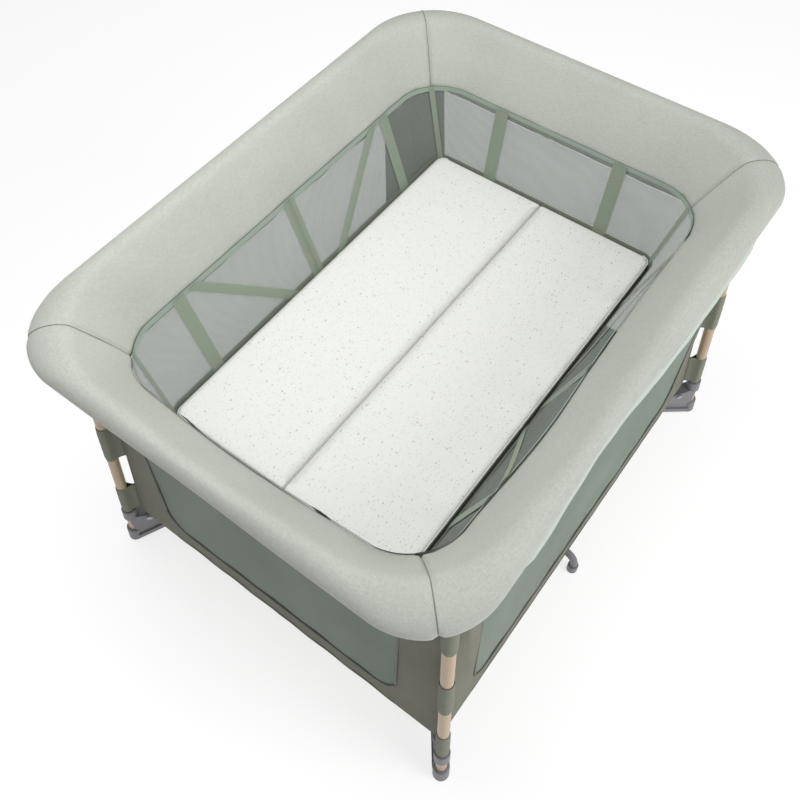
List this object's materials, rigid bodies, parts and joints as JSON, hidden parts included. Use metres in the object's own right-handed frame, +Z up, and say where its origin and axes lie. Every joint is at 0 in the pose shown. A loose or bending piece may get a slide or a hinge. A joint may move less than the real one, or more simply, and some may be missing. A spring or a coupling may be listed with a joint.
{
  "type": "playpen",
  "caption": "Folding playpen with a padded leaning bumper, mesh walls, a raised bassinet with a folding mattress, splayed tube legs and a centre hub under the floor.",
  "frame": {"origin": "centre of the pen's footprint on the floor", "axes": "+X along the long sides to the right, +Y across to the back, +Z up"},
  "size_m": [1.0842, 0.871, 0.7729],
  "materials": {
    "tube_paint": "satin",
    "bracket_plastic": "satin",
    "button_plastic": "satin",
    "rivet_steel": "satin",
    "bumper_linen": "matte",
    "outer_fabric": "matte",
    "mesh_fabric": "matte",
    "mattress_cover": "matte"
  },
  "bodies": {
    "leg_back_right": {"leg_tube_back_right": "tube_paint", "foot_bracket_back_right": "bracket_plastic", "corner_block_back_right": "bracket_plastic", "rivets_back_right": "rivet_steel", "outer_wall_back_right": "outer_fabric", "bassinet_back_right": "mesh_fabric", "leg_sleeves_back_right": "outer_fabric", "long_bumper_back_right": "bumper_linen", "short_bumper_back_right": "bumper_linen"},
    "leg_back_left": {"leg_tube_back_left": "tube_paint", "foot_bracket_back_left": "bracket_plastic", "corner_block_back_left": "bracket_plastic", "rivets_back_left": "rivet_steel", "outer_wall_back_left": "outer_fabric", "bassinet_back_left": "mesh_fabric", "leg_sleeves_back_left": "outer_fabric", "long_bumper_back_left": "bumper_linen", "short_bumper_back_left": "bumper_linen"},
    "leg_front_right": {"leg_tube_front_right": "tube_paint", "foot_bracket_front_right": "bracket_plastic", "corner_block_front_right": "bracket_plastic", "rivets_front_right": "rivet_steel", "outer_wall_front_right": "outer_fabric", "bassinet_front_right": "mesh_fabric", "leg_sleeves_front_right": "outer_fabric", "long_bumper_front_right": "bumper_linen", "short_bumper_front_right": "bumper_linen"},
    "leg_front_left": {"leg_tube_front_left": "tube_paint", "foot_bracket_front_left": "bracket_plastic", "corner_block_front_left": "bracket_plastic", "rivets_front_left": "rivet_steel", "outer_wall_front_left": "outer_fabric", "bassinet_front_left": "mesh_fabric", "leg_sleeves_front_left": "outer_fabric", "long_bumper_front_left": "bumper_linen", "short_bumper_front_left": "bumper_linen"},
    "strut_back_right": {"strut_back_right": "tube_paint"},
    "strut_back_left": {"strut_back_left": "tube_paint"},
    "strut_front_right": {"strut_front_right": "tube_paint"},
    "strut_front_left": {"strut_front_left": "tube_paint"},
    "hub": {"hub_body": "bracket_plastic", "hub_cover": "bracket_plastic", "hub_pins": "rivet_steel"},
    "long_rail_back_right": {"long_rail_back_right": "tube_paint"},
    "short_rail_back_right": {"short_rail_back_right": "tube_paint"},
    "long_rail_back_left": {"long_rail_back_left": "tube_paint"},
    "short_rail_back_left": {"short_rail_back_left": "tube_paint"},
    "long_rail_front_right": {"long_rail_front_right": "tube_paint"},
    "short_rail_front_right": {"short_rail_front_right": "tube_paint"},
    "long_rail_front_left": {"long_rail_front_left": "tube_paint"},
    "short_rail_front_left": {"short_rail_front_left": "tube_paint"},
    "side_arm_front": {"side_arm_front": "tube_paint", "side_foot_front": "bracket_plastic"},
    "side_arm_back": {"side_arm_back": "tube_paint", "side_foot_back": "bracket_plastic"},
    "mattress_back": {"mattress_back": "mattress_cover"},
    "mattress_front": {"mattress_front": "mattress_cover"},
    "release_button": {"release_button": "button_plastic"}
  },
  "joints": [
    {"name": "frame_fold", "type": "hinge", "parent": "leg_front_left", "child": "strut_front_left", "pos_m": [-0.42967, -0.35043, 0.062], "axis": [0.6126, -0.7904, 0], "range_deg": [0, 78], "deforming": ["long_bumper_back_right", "long_bumper_back_left", "long_bumper_front_right", "long_bumper_front_left", "short_bumper_back_right", "short_bumper_back_left", "short_bumper_front_right", "short_bumper_front_left", "outer_wall_back_right", "outer_wall_back_left", "outer_wall_front_right", "outer_wall_front_left", "bassinet_back_right", "bassinet_back_left", "bassinet_front_right", "bassinet_front_left"]},
    {"name": "hub_level", "type": "hinge", "parent": "strut_front_left", "child": "hub", "pos_m": [-0.02967, -0.04043, 0.062], "axis": [0.6126, -0.7904, 0], "range_deg": [-78, 0]},
    {"name": "strut_swing_back_right", "type": "hinge", "parent": "hub", "child": "strut_back_right", "pos_m": [0.02967, 0.04043, 0.062], "axis": [-0.6126, 0.7904, 0], "range_deg": [0, 78]},
    {"name": "leg_upright_back_right", "type": "hinge", "parent": "strut_back_right", "child": "leg_back_right", "pos_m": [0.42967, 0.35043, 0.062], "axis": [-0.6126, 0.7904, 0], "range_deg": [-78, 0]},
    {"name": "strut_swing_back_left", "type": "hinge", "parent": "hub", "child": "strut_back_left", "pos_m": [-0.02967, 0.04043, 0.062], "axis": [-0.6126, -0.7904, 0], "range_deg": [0, 78]},
    {"name": "leg_upright_back_left", "type": "hinge", "parent": "strut_back_left", "child": "leg_back_left", "pos_m": [-0.42967, 0.35043, 0.062], "axis": [-0.6126, -0.7904, 0], "range_deg": [-78, 0]},
    {"name": "strut_swing_front_right", "type": "hinge", "parent": "hub", "child": "strut_front_right", "pos_m": [0.02967, -0.04043, 0.062], "axis": [0.6126, 0.7904, 0], "range_deg": [0, 78]},
    {"name": "leg_upright_front_right", "type": "hinge", "parent": "strut_front_right", "child": "leg_front_right", "pos_m": [0.42967, -0.35043, 0.062], "axis": [0.6126, 0.7904, 0], "range_deg": [-78, 0]},
    {"name": "long_rail_break_back_right", "type": "hinge", "parent": "leg_back_right", "child": "long_rail_back_right", "pos_m": [0.4, 0.3659, 0.708], "axis": [0, -1, 0], "range_deg": [0, 78]},
    {"name": "short_rail_break_back_right", "type": "hinge", "parent": "leg_back_right", "child": "short_rail_back_right", "pos_m": [0.4899, 0.31, 0.708], "axis": [1, 0, 0], "range_deg": [0, 78]},
    {"name": "long_rail_break_back_left", "type": "hinge", "parent": "leg_back_left", "child": "long_rail_back_left", "pos_m": [-0.4, 0.3659, 0.708], "axis": [0, 1, 0], "range_deg": [0, 78]},
    {"name": "short_rail_break_back_left", "type": "hinge", "parent": "leg_back_left", "child": "short_rail_back_left", "pos_m": [-0.4899, 0.31, 0.708], "axis": [1, 0, 0], "range_deg": [0, 78]},
    {"name": "long_rail_break_front_right", "type": "hinge", "parent": "leg_front_right", "child": "long_rail_front_right", "pos_m": [0.4, -0.3659, 0.708], "axis": [0, -1, 0], "range_deg": [0, 78]},
    {"name": "short_rail_break_front_right", "type": "hinge", "parent": "leg_front_right", "child": "short_rail_front_right", "pos_m": [0.4899, -0.31, 0.708], "axis": [-1, 0, 0], "range_deg": [0, 78]},
    {"name": "long_rail_break_front_left", "type": "hinge", "parent": "leg_front_left", "child": "long_rail_front_left", "pos_m": [-0.4, -0.3659, 0.708], "axis": [0, 1, 0], "range_deg": [0, 78]},
    {"name": "short_rail_break_front_left", "type": "hinge", "parent": "leg_front_left", "child": "short_rail_front_left", "pos_m": [-0.4899, -0.31, 0.708], "axis": [-1, 0, 0], "range_deg": [0, 78]},
    {"name": "side_arm_drop_front", "type": "hinge", "parent": "hub", "child": "side_arm_front", "pos_m": [-0.01, -0.078, 0.062], "axis": [1, 0, 0], "range_deg": [0, 90]},
    {"name": "side_arm_drop_back", "type": "hinge", "parent": "hub", "child": "side_arm_back", "pos_m": [0.01, 0.078, 0.062], "axis": [-1, 0, 0], "range_deg": [0, 90]},
    {"name": "mattress_lift", "type": "slide", "parent": "hub", "child": "mattress_back", "axis": [0, 0, 1], "range_m": [0, 0.35]},
    {"name": "mattress_fold", "type": "hinge", "parent": "mattress_back", "child": "mattress_front", "pos_m": [0, 0, 0.5252], "axis": [-1, 0, 0], "range_deg": [0, 178]},
    {"name": "release_press", "type": "slide", "parent": "hub", "child": "release_button", "axis": [0, 0, -1], "range_m": [0, 0.0055], "stiffness_N_per_m": 600}
  ],
  "couplings": [
    {"joint": "hub_level", "follows": "frame_fold", "ratio": -1},
    {"joint": "strut_swing_back_right", "follows": "frame_fold", "ratio": 1},
    {"joint": "leg_upright_back_right", "follows": "frame_fold", "ratio": -1},
    {"joint": "strut_swing_back_left", "follows": "frame_fold", "ratio": 1},
    {"joint": "leg_upright_back_left", "follows": "frame_fold", "ratio": -1},
    {"joint": "strut_swing_front_right", "follows": "frame_fold", "ratio": 1},
    {"joint": "leg_upright_front_right", "follows": "frame_fold", "ratio": -1},
    {"joint": "long_rail_break_back_right", "follows": "frame_fold", "ratio": 1},
    {"joint": "short_rail_break_back_right", "follows": "frame_fold", "ratio": 1},
    {"joint": "long_rail_break_back_left", "follows": "frame_fold", "ratio": 1},
    {"joint": "short_rail_break_back_left", "follows": "frame_fold", "ratio": 1},
    {"joint": "long_rail_break_front_right", "follows": "frame_fold", "ratio": 1},
    {"joint": "short_rail_break_front_right", "follows": "frame_fold", "ratio": 1},
    {"joint": "long_rail_break_front_left", "follows": "frame_fold", "ratio": 1},
    {"joint": "short_rail_break_front_left", "follows": "frame_fold", "ratio": 1},
    {"joint": "side_arm_drop_front", "follows": "frame_fold", "ratio": 1.1538},
    {"joint": "side_arm_drop_back", "follows": "frame_fold", "ratio": 1.1538}
  ]
}
